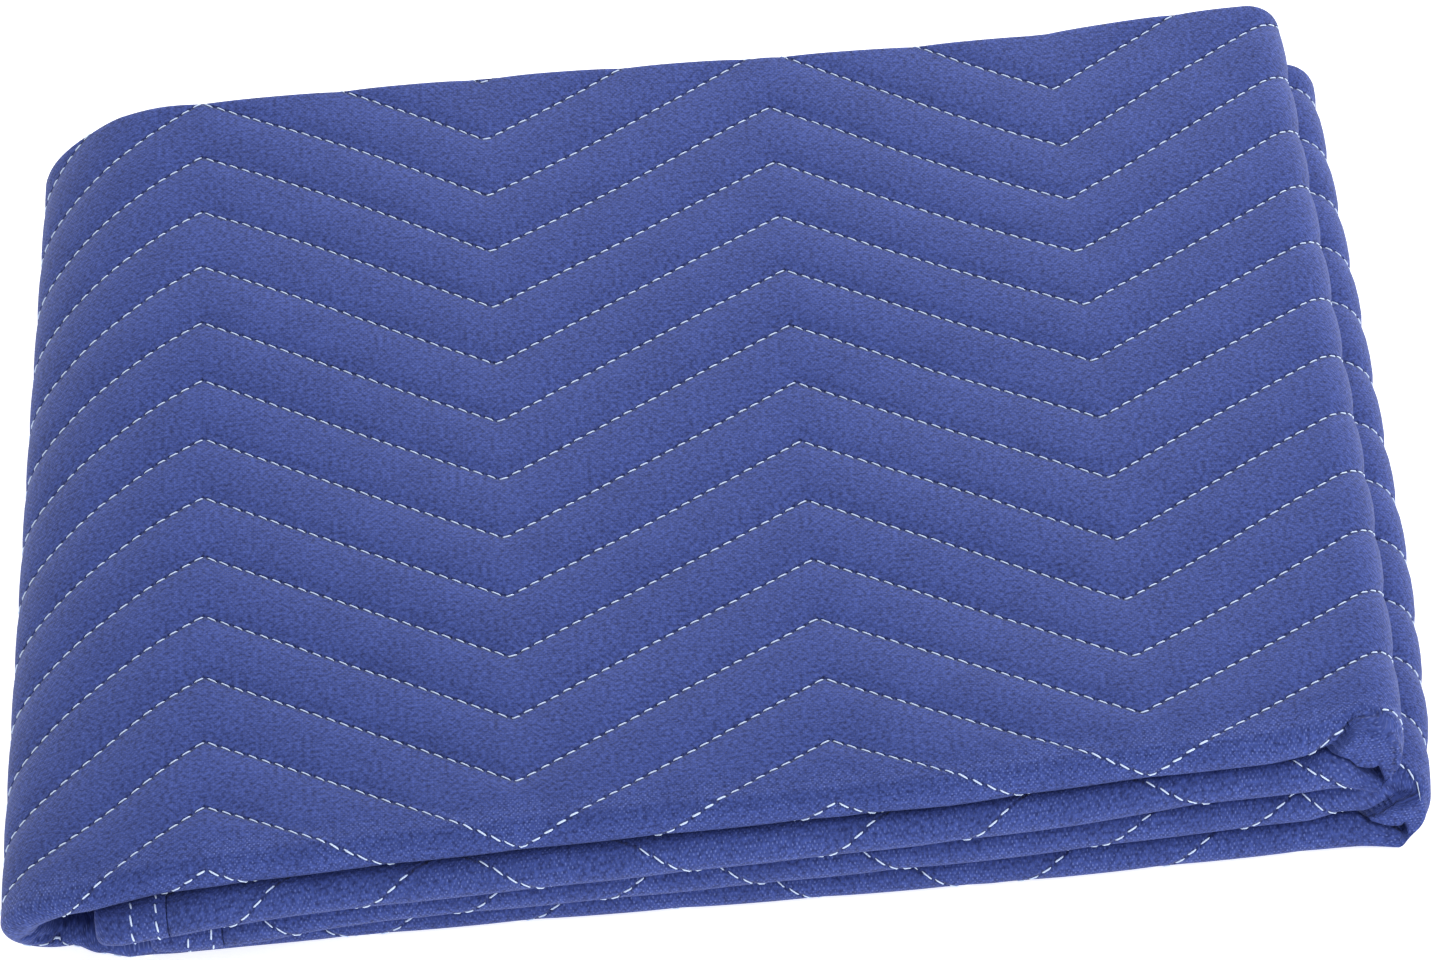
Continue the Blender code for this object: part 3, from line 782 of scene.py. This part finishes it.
def clothMaterial(name, colour, rows):
    material, nodes, shader = newMaterial(name)
    calc = nodes.calc
    place = nodes.make("ShaderNodeUVMap", uv_map="clothMap").outputs[0]
    rolled = nodes.make("ShaderNodeAttribute", attribute_name="rolledCloth").outputs["Fac"]
    mat = nodes.make("ShaderNodeGroup", {"Place": place}, node_tree=emboss).outputs

    def mixed(kind, factor, a, b):
        a, b = [(*source, 1.0) if isinstance(source, tuple) else source for source in (a, b)]
        inputs = {"Factor": factor, "A": a, "B": b}
        return nodes.make("ShaderNodeMix", inputs, data_type="RGBA", blend_type=kind).outputs["Result"]

    def bumped(height, bump, normal=None):
        inputs = {"Strength": finish[bump][0], "Distance": finish[bump][1], "Height": height}
        if normal is not None:
            inputs["Normal"] = normal
        return nodes.make("ShaderNodeBump", inputs).outputs[0]

    tone = nodes.weighed(mat["Fibres"], finish["fibres"], mat["Mottle"], finish["mottle"])
    tone = calc("SUBTRACT", tone, (finish["fibres"] + finish["mottle"] - 1.0) / 2, clamp=True)
    dark, light, paintedGlint = [
        tuple(channel * k for channel, k in zip(colour, finish[name])) for name in ("dark", "light", "paintedGlint")
    ]
    # painted highlight: bright glints on the bonded dots, sparse and thinned by noise, shown mostly on the
    # front rolls and hardly on the flat cloth
    patches = nodes.ranged(mat["Mottle"], *finish["patches"], kind="LINEAR")
    glintDots = calc("MULTIPLY", calc("MULTIPLY", mat["Dots"], mat["Uneven"]), patches)
    shows = calc("ADD", calc("MULTIPLY", rolled, finish["rolledGlint"]), finish["flatGlint"])
    shown = mixed("MIX", calc("MULTIPLY", glintDots, shows), mixed("MIX", tone, dark, light), paintedGlint)
    shown = mixed("MULTIPLY", calc("MULTIPLY", mat["Specks"], finish["specks"]), shown, finish["speckTint"])
    normal = bumped(mat["Height"], "grainBump")
    if rows:
        seam = nodes.make("ShaderNodeGroup", {"Place": place}, node_tree=stitchRows).outputs
        row, holes = seam["Seam"], seam["Holes"]
        # painted shade: the cloth is darkened along each stitch row and in its needle holes, where it dips
        shade = nodes.weighed(row, finish["seamShade"], holes, finish["holeShade"], clamp=True)
        shown = mixed("MULTIPLY", shade, shown, finish["seamShadeTint"])
        dip = nodes.weighed(row, finish["seamDepth"], holes, finish["holeDepth"])
        pucker = calc("SUBTRACT", calc("MULTIPLY", seam["Pucker"], finish["puckerHeight"]), dip)
        normal = bumped(pucker, "seamBump", normal)
        normal = bumped(calc("MULTIPLY", seam["Loft"], calc("SUBTRACT", 1.0, rolled)), "loftBump", normal)
    nodes.fill(shader, {
        "Base Color": shown, "Normal": normal,
        "Roughness": nodes.ranged(mat["Dots"], 0.0, 1.0, *finish["roughness"], kind="LINEAR"),
        "Sheen Weight": finish["sheen"], "Sheen Roughness": finish["sheenRoughness"],
        "Sheen Tint": finish["sheenTint"], "Specular IOR Level": finish["specular"],
    })
    return material


threadLook = dict(
    twist=900.0, dark=(0.53, 0.67, 1.0, 1.0), light=(0.74, 0.85, 1.0, 1.0), roughness=0.55,
    sheen=0.2, sheenTint=(0.5, 0.65, 1.0, 1.0),
)


def threadMaterial():
    material, nodes, shader = newMaterial("whiteThread")
    where = nodes.make("ShaderNodeTexCoord").outputs["Object"]
    twist = nodes.make("ShaderNodeTexNoise", {"Vector": where, "Scale": threadLook["twist"]}).outputs[0]
    tints = {"Factor": twist, "A": threadLook["dark"], "B": threadLook["light"]}
    tint = nodes.make("ShaderNodeMix", tints, data_type="RGBA")
    nodes.fill(shader, {
        "Base Color": tint.outputs["Result"], "Roughness": threadLook["roughness"],
        "Sheen Weight": threadLook["sheen"], "Sheen Tint": threadLook["sheenTint"],
    })
    return material


panelCloth = clothMaterial("blueNonWoven", finish["panel"], True)
bindingCloth = clothMaterial("blueBinding", finish["binding"], False)
thread = threadMaterial()
print("materials ready")


def rolledShare(columns):  # 1 where the cloth is stretched round a front roll
    rollYs = np.array([landmarks(station)[3] for station in stations])[:, None]
    start, full = finish["rolledReach"]
    return eased(columns, rollYs + start, rollYs + full)


def makePanel():
    points = np.concatenate([outsidePoints, insidePoints, outsidePoints[:, :1]], axis=1)
    uvs = np.concatenate([outsideUvs, insideUvs, outsideUvs[:, :1]], axis=1)
    columns = np.concatenate([outsideV, insideV, outsideV[:, :1]], axis=1)
    return makeObject("quiltedCloth", gridThrough(points, uvs, rolledShare(columns)), panelCloth)


panel = makePanel()


# One binding: a slotted strip swept along the folded plies
def bindingColumns(station):
    ply, face, fold = mesh["bindingPly"], mesh["bindingFace"], mesh["foldColumns"]
    return columnsBetween(landmarks(station), [ply, fold, face, mesh["rollColumns"], face, fold, ply])


def makeBinding(name, layer, packet, nz, faceZ):
    endX, wall = cloth["endX"][packet], cloth["ply"] / 2
    slot, bevel = wall - binding["wall"], binding["bevel"]
    angles = np.linspace(math.pi / 2, -math.pi / 2, binding["nosePoints"])
    nose = [(endX + (wall - wall * math.cos(a)) * binding["noseDepth"], wall * math.sin(a)) for a in angles]
    lipX, slotX = endX + binding["width"], endX + binding["wall"]
    fromX, toX = lipX - binding["lipInset"], endX + wall + binding["noseGap"]
    upper = [(x, wall) for x in np.linspace(fromX, toX, binding["facePoints"])]
    corner = (lipX - binding["cornerIn"], wall - binding["cornerDown"])
    top = [(lipX, slot + bevel), corner, *upper]
    bottom = [(x, -z) for x, z in top[::-1]]
    slit = [(lipX - bevel, -slot), (slotX, -slot), (slotX, slot), (lipX - bevel, slot)]
    outline = [*top, *nose, *bottom, *slit]
    columns, uvs = [], []
    for x, lift in [*outline, outline[0]]:
        station = Station(x, faceZ, 0.0, nz, edgesAt(layer, x), packet, layer)
        v = bindingColumns(station)
        y, depth = acrossSection(station.front, station.back, v, lift)
        columns.append(np.stack([x + sideShift(x, y, packet), y, faceZ - nz * depth], axis=1))
        uvs.append(np.stack([np.full_like(v, x), v], axis=1))
    points = shaped(np.array(columns))
    return makeObject(name, gridThrough(points, np.array(uvs)), bindingCloth)


# Layer, packet, way up and height of each bound end
upperEnd = (2, "upper", -1.0, packetHeight / 2 + cloth["layerGap"] / 2)
lowerEnd = (3, "lower", 1.0, packetHeight / 2 - cloth["layerGap"] / 2)
upperBinding = makeBinding("upperEndBinding", *upperEnd)
lowerBinding = makeBinding("lowerEndBinding", *lowerEnd)


def dashTemplate():
    bm = bmesh.new()
    bmesh.ops.create_cone(bm, cap_ends=True, segments=stitches["sides"], radius1=1.0, radius2=1.0, depth=1.0)
    for z in (-stitches["cut"], stitches["cut"]):
        parts = bm.verts[:] + bm.edges[:] + bm.faces[:]
        bmesh.ops.bisect_plane(bm, geom=parts, plane_co=(0, 0, z), plane_no=(0, 0, 1))
    data = bpy.data.meshes.new("dash")
    bm.to_mesh(data)
    bm.free()
    return data


def acrossAt(row, u):
    # The place across the cloth of a stitch row, with its wander
    straight = quilting["peakY"] + row * quilting["spacing"] - zigzag(u)
    v = straight
    for _ in range(stitches["rounds"]):
        v = straight + wanderAt(-u, v)
    return v


def sewn(name, starts, placeOf):
    # One dash per start (line, place, length, offset), bent onto the cloth by placeOf
    starts, template = np.array(starts), dashTemplate()
    shape = np.array([vert.co for vert in template.vertices])
    atEnd = np.abs(shape[:, 2]) > stitches["endFrom"]
    along, thin = shape[:, 2] + 0.5, np.where(atEnd, stitches["thin"], 1.0) * stitches["radius"]
    place = starts[:, 1:2] + starts[:, 2:3] * along
    aside = starts[:, 3:4] + shape[:, 0] * thin + stitches["slant"] * (2 * along - 1)
    rise = np.where(atEnd, stitches["sink"], 1.0) * stitches["rise"]
    lift = np.broadcast_to(rise + shape[:, 1] * thin, place.shape)
    points = placeOf(starts[:, 0:1] + 0 * place, place, aside, lift)
    bm = bmesh.new()
    for _ in range(len(starts)):
        bm.from_mesh(template)
    for vert, point in zip(bm.verts, points):
        vert.co = point
    bmesh.ops.recalc_face_normals(bm, faces=bm.faces)
    print(f"{name}: {len(starts)} stitches")
    return makeObject(name, bm, thread)


def makeStitching():
    rng = np.random.default_rng(stitches["seed"])
    marks = np.array([landmarks(station) for station in stations])
    middle = stationLengths.mean(axis=1)
    bound = [stationLengths[i].mean() for i, station in enumerate(stations) if station.pinch]
    pitch, margin = stitches["pitchAlong"], stitches["margin"]
    firstU, lastU = max(u for u in bound if u < 0) + margin, min(u for u in bound if u > 0) - margin
    first = math.ceil((firstU + quilting["peakX"]) / pitch)
    last = math.floor((lastU + quilting["peakX"]) / pitch)
    places, shown = -quilting["peakX"] + pitch * np.arange(first, last), pitch * stitches["share"]
    starts = []

    def flapShare(u, v):  # the nearest station, and how far this place is on a flap
        i = min(int(np.searchsorted(middle, u)), len(middle) - 1)
        column = min(int(np.searchsorted(-outsideV[i], -v)), outsideV.shape[1] - 1)
        return i, onFlap[i, column]

    for row in range(*stitches["rows"]):
        lines, lineEnds = acrossAt(row, places + pitch / 3), acrossAt(row, places + shown)
        for u, v, vEnd in zip(places, lines, lineEnds):
            i, share = flapShare(u, v)
            onPly = marks[i][4] + margin < v < marks[i][1] - margin
            if onPly and max(share, flapShare(u + shown, vEnd)[1]) < stitches["mostOnFlap"]:
                length = shown * rng.uniform(*stitches["lengths"])
                slid, stray = pitch * rng.normal(0, stitches["slide"]), rng.normal(0, stitches["stray"])
                starts.append((row, u + slid, length, stray))

    def onCloth(row, u, aside, lift):
        return surfaceAt(u.ravel(), (acrossAt(row, u) + aside).ravel(), lift.ravel())

    return sewn("zigzagStitching", starts, onCloth)


stitching = makeStitching()


def makeBindingStitching(name, layer, packet, nz, faceZ):
    # Two rows across the cloth through both walls of the binding
    rng = np.random.default_rng(stitches["seed"] + layer)
    endX, starts = cloth["endX"][packet], []
    for x in binding["rows"]:
        marks = landmarks(Station(endX + x, faceZ, 0.0, nz, edgesAt(layer, endX + x), packet, layer))
        v = marks[5] + binding["firstStitch"] + binding["pitch"] * rng.random()
        while v < marks[1] - binding["lastStitch"]:
            length = binding["pitch"] * rng.uniform(*binding["shown"])
            starts.append((endX + x, v, length, rng.normal(0, binding["stray"])))
            v += binding["pitch"] * rng.uniform(*binding["spread"])

    def onBinding(x, v, aside, lift):
        where = x + aside
        y, depth = acrossSection(*edgesAt(layer, where), v, cloth["ply"] / 2 + lift)
        points = [where + sideShift(where, y, packet), y, faceZ - nz * depth]
        return shaped(np.stack(points, axis=-1).reshape(-1, 3))

    return sewn(name, starts, onBinding)


upperHem = makeBindingStitching("upperBindingStitching", *upperEnd)
lowerHem = makeBindingStitching("lowerBindingStitching", *lowerEnd)

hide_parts("quilted_panel")
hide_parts("end_binding_upper")
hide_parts("end_binding_lower")
for piece in (panel, upperBinding, lowerBinding, stitching, upperHem, lowerHem):
    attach(piece, "root")

# Floor, lights and camera
studio = dict(
    floor=6.0, floorDrop=0.0003, glow=0.72, world=0.86, key=29.0, keySize=1.0, keyPlace=(0.66, 1.95, 1.15),
    fill=21.0, fillSize=1.6, fillPlace=(1.9, -0.9, 1.6),
)


def makeFloor():
    bm = bmesh.new()
    bmesh.ops.create_grid(bm, x_segments=1, y_segments=1, size=studio["floor"])
    bmesh.ops.translate(bm, verts=bm.verts, vec=(0, 0, -studio["floorDrop"]))
    material, nodes, shader = newMaterial("paleFloor")
    nodes.fill(shader, {
        "Base Color": (0.9, 0.9, 0.9, 1.0), "Roughness": 0.9,
        "Emission Color": (1.0, 1.0, 1.0, 1.0), "Emission Strength": studio["glow"],
    })
    floor = makeObject("studioFloor", bm, material)
    return floor


floor = makeFloor()


def makeLight(name, place, energy, size):  # a square light, turned to the origin
    light = bpy.data.lights.new(name, "AREA")
    light.energy, light.size = energy, size
    lamp = bpy.data.objects.new(name, light)
    lamp.location = place
    lamp.rotation_euler = (-Vector(place)).to_track_quat("-Z", "Y").to_euler()
    bpy.context.scene.collection.objects.link(lamp)


world = bpy.data.worlds.new("studioWorld")
bpy.context.scene.world = world
world.use_nodes = True
background = world.node_tree.nodes["Background"]
Nodes(world.node_tree).fill(background, {"Color": (1.0, 1.0, 1.0, 1.0), "Strength": studio["world"]})
for lamp in ("key", "fill"):
    makeLight(f"{lamp}Light", studio[f"{lamp}Place"], studio[lamp], studio[f"{lamp}Size"])
bpy.context.scene.view_settings.view_transform = "Standard"

# Angles in degrees; the focal length is in pixels of a picture this wide
view = dict(
    elevation=42.0, azimuth=0.942, roll=-6.112, focal=7304.2, width=1436, distance=2.8083,
    target=(0.0084, -0.0028, 0.0297), sensor=36.0, clip=(0.05, 50.0),
)


def makeCamera():
    elevation, azimuth, roll = (math.radians(view[name]) for name in ("elevation", "azimuth", "roll"))
    level = math.cos(elevation)
    back = Vector((math.sin(azimuth) * level, -math.cos(azimuth) * level, math.sin(elevation)))
    right = Vector((math.cos(azimuth), math.sin(azimuth), 0.0))
    up = back.cross(right)
    rolledRight = math.cos(roll) * right + math.sin(roll) * up
    rolledUp = -math.sin(roll) * right + math.cos(roll) * up
    data = bpy.data.cameras.new("studioCamera")
    data.sensor_width = view["sensor"]
    data.lens = view["focal"] / view["width"] * data.sensor_width
    data.clip_start, data.clip_end = view["clip"]
    camera = bpy.data.objects.new("studioCamera", data)
    bpy.context.scene.collection.objects.link(camera)
    turn = Matrix((rolledRight, rolledUp, back)).transposed().to_4x4()
    camera.matrix_world = Matrix.Translation(Vector(view["target"]) + back * view["distance"]) @ turn
    bpy.context.scene.camera = camera


makeCamera()
print("studio ready")
